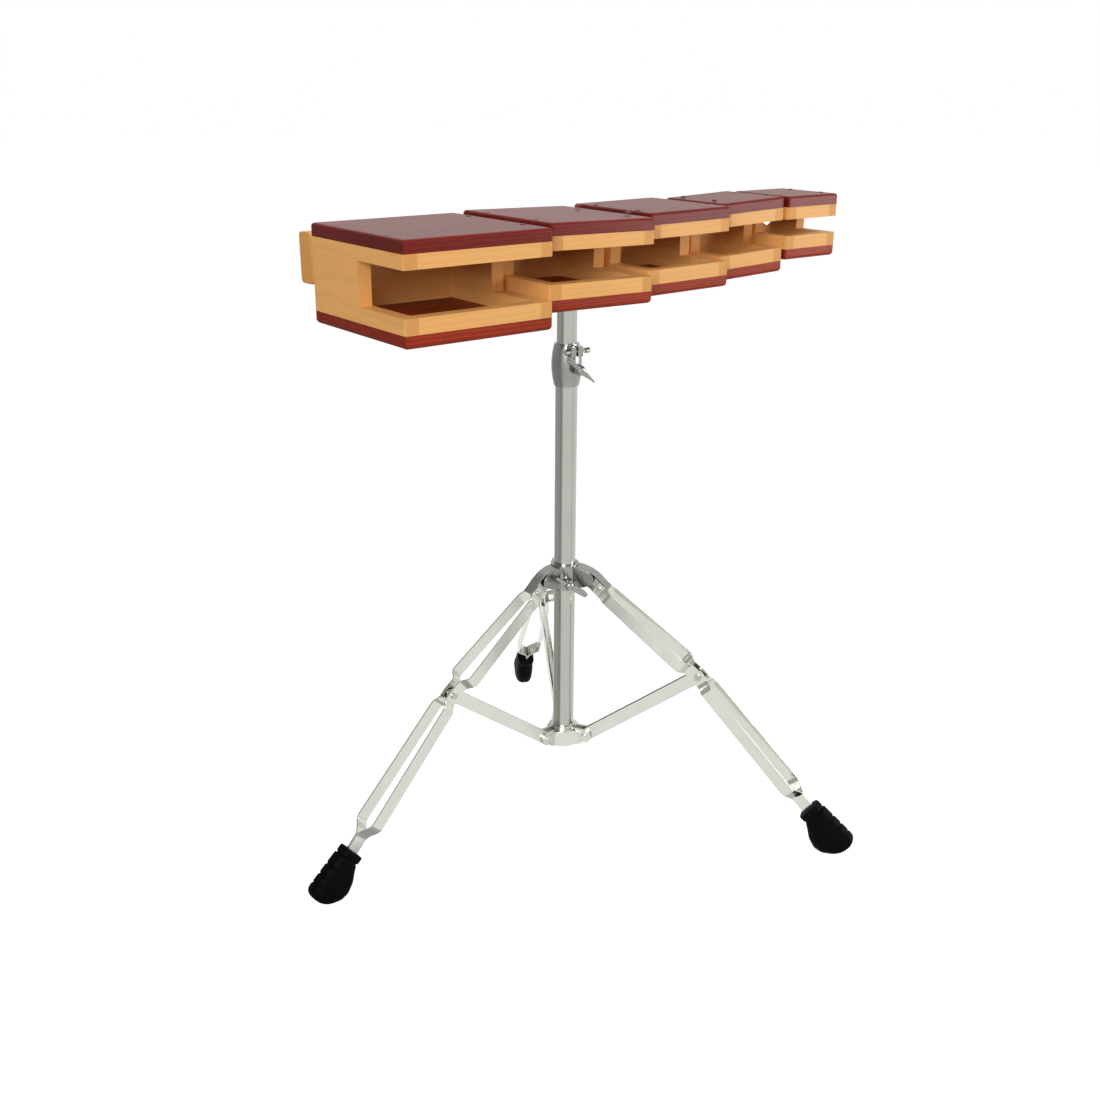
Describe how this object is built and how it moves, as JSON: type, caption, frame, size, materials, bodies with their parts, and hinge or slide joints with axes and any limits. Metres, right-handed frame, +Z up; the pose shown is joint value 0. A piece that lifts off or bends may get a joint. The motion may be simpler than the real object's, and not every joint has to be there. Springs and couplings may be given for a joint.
{
  "type": "temple block set",
  "caption": "Graduated slit wooden box blocks on a rail, on a height-adjustable stand with folding double-strip legs.",
  "frame": {"origin": "on the floor, under the axis of the column", "axes": "+Z up along the column, +X along the rail from the largest block to the smallest, -Y towards the player"},
  "size_m": [0.858, 0.8017, 0.9189],
  "materials": {
    "padauk": "dark red hardwood, satin lacquer",
    "maple": "honey coloured maple, satin lacquer",
    "rail_maple": "maple, satin lacquer",
    "chrome_tube": "bright chrome plating on steel tube and strip",
    "chrome_castings": "chrome plating on die castings, slightly softer",
    "steel_fasteners": "zinc-plated steel",
    "foot_rubber": "black moulded rubber",
    "washer_rubber": "black rubber",
    "black_plastic": "black nylon"
  },
  "bodies": {
    "column": {"lower_tube": "chrome_tube", "lower_tube_plug": "black_plastic", "height_clamp": "chrome_castings", "height_clamp_bolt": "steel_fasteners", "spreader_hub": "chrome_castings", "spreader_pins": "steel_fasteners", "spreader_screw": "steel_fasteners"},
    "height_wing": {"height_wing_screw": "chrome_castings"},
    "mast": {"upper_tube": "chrome_tube"},
    "rail_assembly": {"rail": "rail_maple", "block_bolts": "steel_fasteners", "block_washers": "washer_rubber", "block_wing_nuts": "steel_fasteners", "rail_bracket": "chrome_castings", "rail_bracket_screws": "steel_fasteners"},
    "rail_wing": {"rail_wing_screw": "chrome_castings"},
    "hub": {"leg_hub": "chrome_castings", "hub_pins": "steel_fasteners"},
    "hub_wing": {"hub_wing_screw": "chrome_castings"},
    "block1": {"block1_top_plate": "padauk", "block1_bottom_plate": "padauk", "block1_side_walls": "maple", "block1_front_bars": "maple", "block1_back_wall": "maple"},
    "block2": {"block2_top_plate": "padauk", "block2_bottom_plate": "padauk", "block2_side_walls": "maple", "block2_front_bars": "maple", "block2_back_wall": "maple"},
    "block3": {"block3_top_plate": "padauk", "block3_bottom_plate": "padauk", "block3_side_walls": "maple", "block3_front_bars": "maple", "block3_back_wall": "maple"},
    "block4": {"block4_top_plate": "padauk", "block4_bottom_plate": "padauk", "block4_side_walls": "maple", "block4_front_bars": "maple", "block4_back_wall": "maple"},
    "block5": {"block5_top_plate": "padauk", "block5_bottom_plate": "padauk", "block5_side_walls": "maple", "block5_front_bars": "maple", "block5_back_wall": "maple"},
    "brace_left": {"brace_left": "chrome_tube"},
    "leg_left": {"leg_left_strips": "chrome_tube", "leg_left_bracket": "chrome_tube", "leg_left_rivets": "steel_fasteners", "foot_left": "foot_rubber"},
    "brace_right": {"brace_right": "chrome_tube"},
    "leg_right": {"leg_right_strips": "chrome_tube", "leg_right_bracket": "chrome_tube", "leg_right_rivets": "steel_fasteners", "foot_right": "foot_rubber"},
    "brace_rear": {"brace_rear": "chrome_tube"},
    "leg_rear": {"leg_rear_strips": "chrome_tube", "leg_rear_bracket": "chrome_tube", "leg_rear_rivets": "steel_fasteners", "foot_rear": "foot_rubber"}
  },
  "joints": [
    {"name": "mast_height", "type": "slide", "parent": "column", "child": "mast", "axis": [0, 0, 1], "range_m": [-0.07, 0.26]},
    {"name": "rail_swivel", "type": "hinge", "parent": "mast", "child": "rail_assembly", "pos_m": [0, 0, 0.846], "axis": [0, 0, 1], "continuous": true},
    {"name": "height_screw_turn", "type": "hinge", "parent": "column", "child": "height_wing", "pos_m": [-0.00417, -0.02971, 0.69575], "axis": [-0.1392, -0.9903, 0], "continuous": true},
    {"name": "hub_screw_turn", "type": "hinge", "parent": "hub", "child": "hub_wing", "pos_m": [-0.01408, -0.02649, 0.37779], "axis": [-0.4695, -0.8829, 0], "continuous": true},
    {"name": "rail_screw_turn", "type": "hinge", "parent": "rail_assembly", "child": "rail_wing", "pos_m": [0, 0.03, 0.821], "axis": [0, 1, 0], "continuous": true},
    {"name": "brace_left_fold", "type": "hinge", "parent": "column", "child": "brace_left", "pos_m": [-0.03798, -0.00106, 0.12], "axis": [-0.0279, 0.9996, 0], "range_deg": [-6, 40]},
    {"name": "leg_left_fold", "type": "hinge", "parent": "brace_left", "child": "leg_left", "pos_m": [-0.21037, -0.00588, 0.2509], "axis": [-0.0279, 0.9996, 0], "range_deg": [-80, 12]},
    {"name": "brace_right_fold", "type": "hinge", "parent": "column", "child": "brace_right", "pos_m": [0.01991, -0.03237, 0.12], "axis": [-0.8517, -0.524, 0], "range_deg": [-6, 40]},
    {"name": "leg_right_fold", "type": "hinge", "parent": "brace_right", "child": "leg_right", "pos_m": [0.11027, -0.17924, 0.2509], "axis": [-0.8517, -0.524, 0], "range_deg": [-80, 12]},
    {"name": "brace_rear_fold", "type": "hinge", "parent": "column", "child": "brace_rear", "pos_m": [0.01807, 0.03343, 0.12], "axis": [0.8796, -0.4756, 0], "range_deg": [-6, 40]},
    {"name": "leg_rear_fold", "type": "hinge", "parent": "brace_rear", "child": "leg_rear", "pos_m": [0.1001, 0.18512, 0.2509], "axis": [0.8796, -0.4756, 0], "range_deg": [-80, 12]},
    {"name": "hub_on_leg", "type": "hinge", "parent": "leg_left", "child": "hub", "pos_m": [-0.03798, -0.00106, 0.38179], "axis": [-0.0279, 0.9996, 0], "range_deg": [-6, 40]},
    {"name": "block1_turn", "type": "hinge", "parent": "rail_assembly", "child": "block1", "pos_m": [-0.295, -0.018, 0.8755], "axis": [0, 1, 0], "range_deg": [-3, 3]},
    {"name": "block2_turn", "type": "hinge", "parent": "rail_assembly", "child": "block2", "pos_m": [-0.1035, -0.018, 0.8755], "axis": [0, 1, 0], "range_deg": [-3, 3]},
    {"name": "block3_turn", "type": "hinge", "parent": "rail_assembly", "child": "block3", "pos_m": [0.0648, -0.018, 0.8755], "axis": [0, 1, 0], "range_deg": [-3, 3]},
    {"name": "block4_turn", "type": "hinge", "parent": "rail_assembly", "child": "block4", "pos_m": [0.222, -0.018, 0.8755], "axis": [0, 1, 0], "range_deg": [-3, 3]},
    {"name": "block5_turn", "type": "hinge", "parent": "rail_assembly", "child": "block5", "pos_m": [0.348, -0.018, 0.8755], "axis": [0, 1, 0], "range_deg": [-3, 3]}
  ],
  "couplings": [
    {"joint": "leg_left_fold", "follows": "brace_left_fold", "ratio": -2},
    {"joint": "leg_right_fold", "follows": "brace_left_fold", "ratio": -2},
    {"joint": "brace_right_fold", "follows": "brace_left_fold", "ratio": 1},
    {"joint": "leg_rear_fold", "follows": "brace_left_fold", "ratio": -2},
    {"joint": "brace_rear_fold", "follows": "brace_left_fold", "ratio": 1},
    {"joint": "hub_on_leg", "follows": "brace_left_fold", "ratio": 1}
  ]
}
